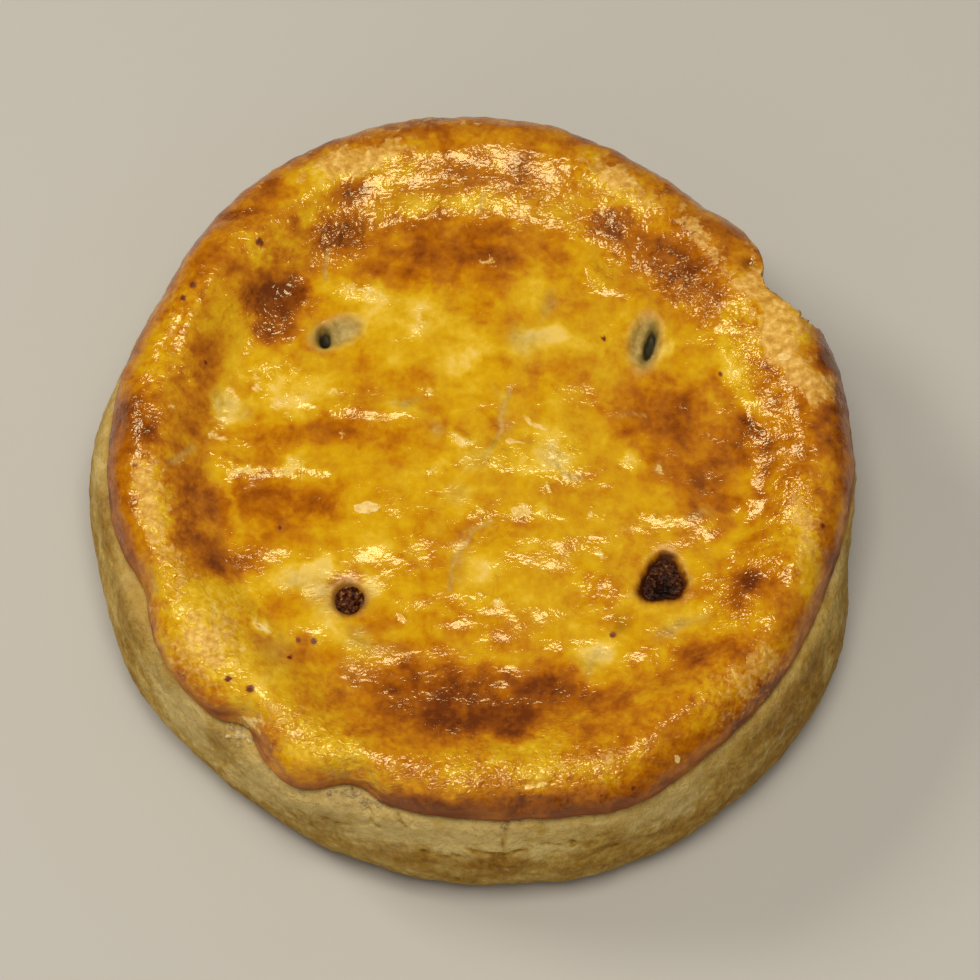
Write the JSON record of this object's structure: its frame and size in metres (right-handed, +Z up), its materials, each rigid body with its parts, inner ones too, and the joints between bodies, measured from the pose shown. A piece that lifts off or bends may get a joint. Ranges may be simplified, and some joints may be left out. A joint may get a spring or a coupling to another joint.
{
  "type": "steak pie",
  "caption": "Round single-serving steak pie: pale bulging pastry case, egg-washed golden lid with a raised rim, a chipped edge and gravy-stained steam vents.",
  "frame": {"origin": "on the table, under the middle of the pie's outline", "axes": "+Z up out of the lid, -Y towards the viewer of the picture, +X to the viewer's right"},
  "size_m": [0.115, 0.1168, 0.035],
  "materials": {
    "pale_pastry": "dry matte shortcrust, mottled beige with browned streaks",
    "glazed_pastry": "egg-washed and baked, glossy gold browned in patches",
    "dried_gravy": "dried dark brown gravy, crumbly and slightly glossy"
  },
  "bodies": {
    "root": {"pastry_case": "pale_pastry", "pastry_lid": "glazed_pastry", "gravy_left": "dried_gravy", "gravy_right": "dried_gravy"}
  },
  "joints": []
}
